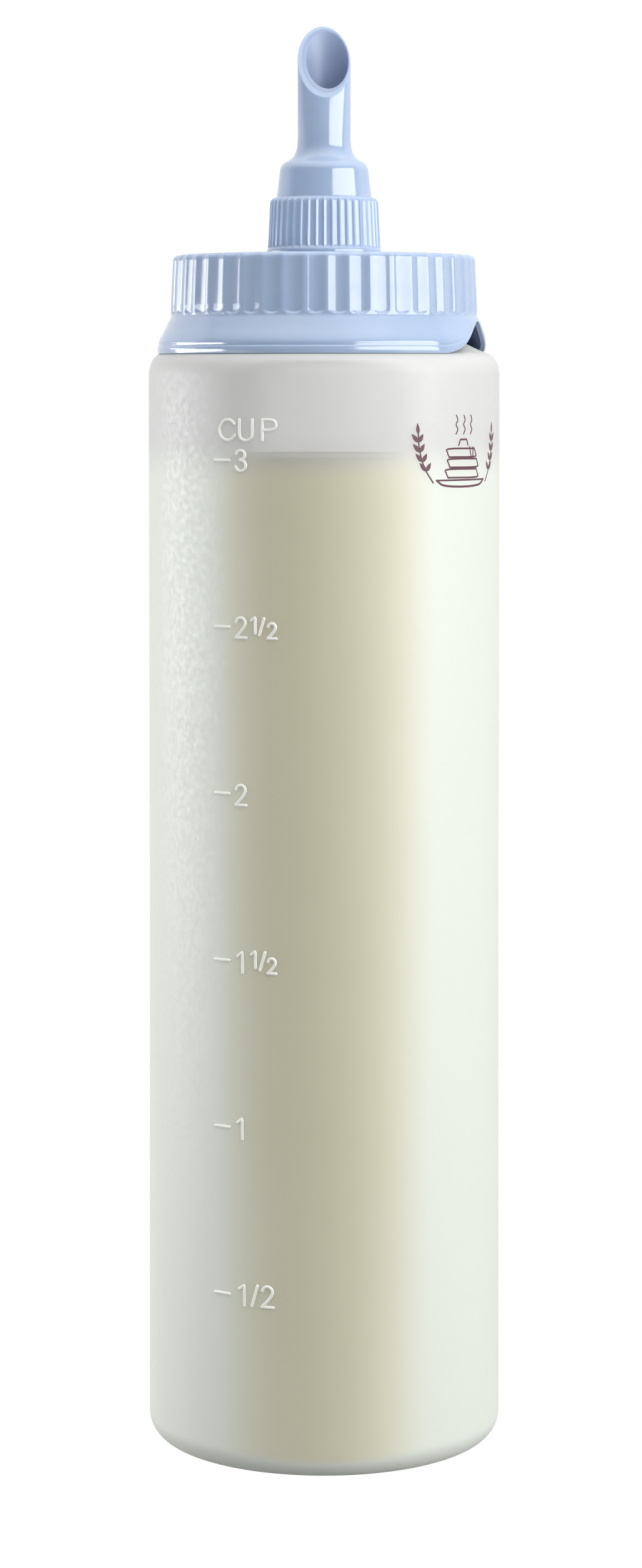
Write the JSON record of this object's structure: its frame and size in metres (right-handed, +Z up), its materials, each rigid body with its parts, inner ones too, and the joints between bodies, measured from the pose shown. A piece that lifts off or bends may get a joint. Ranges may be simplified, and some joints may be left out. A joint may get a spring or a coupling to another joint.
{
  "type": "batter dispenser",
  "caption": "Tall squeeze bottle that measures, stores and pours batter through a slanted nozzle on a screw cap.",
  "frame": {"origin": "middle of the base, on the surface that the bottle stands on", "axes": "+Z up along the bottle's axis, -Y towards the viewer of the picture, +X to its right"},
  "size_m": [0.0704, 0.0704, 0.283],
  "materials": {
    "bottle_plastic": "frosted translucent polyethylene",
    "cap_plastic": "glossy pale blue polypropylene",
    "nozzle_plastic": "glossy pale blue polypropylene",
    "seal_foam": "white foamed liner",
    "batter": "thick wet batter"
  },
  "bodies": {
    "bottle": {"bottle": "bottle_plastic", "batter": "batter"},
    "seal": {"cap_seal": "seal_foam"},
    "cap": {"screw_cap": "cap_plastic"},
    "nozzle": {"nozzle": "nozzle_plastic"}
  },
  "joints": [
    {"name": "cap_lift", "type": "slide", "parent": "bottle", "child": "seal", "axis": [0, 0, 1], "range_m": [0, 0.005]},
    {"name": "cap_turn", "type": "hinge", "parent": "seal", "child": "cap", "pos_m": [0, 0, 0.2285], "axis": [0, 0, 1], "range_deg": [0, 450]},
    {"name": "nozzle_pull", "type": "slide", "parent": "cap", "child": "nozzle", "axis": [0, 0, 1], "range_m": [0, 0.012]}
  ],
  "couplings": [
    {"joint": "cap_lift", "follows": "cap_turn", "m_per_rad": 0.0006366}
  ]
}
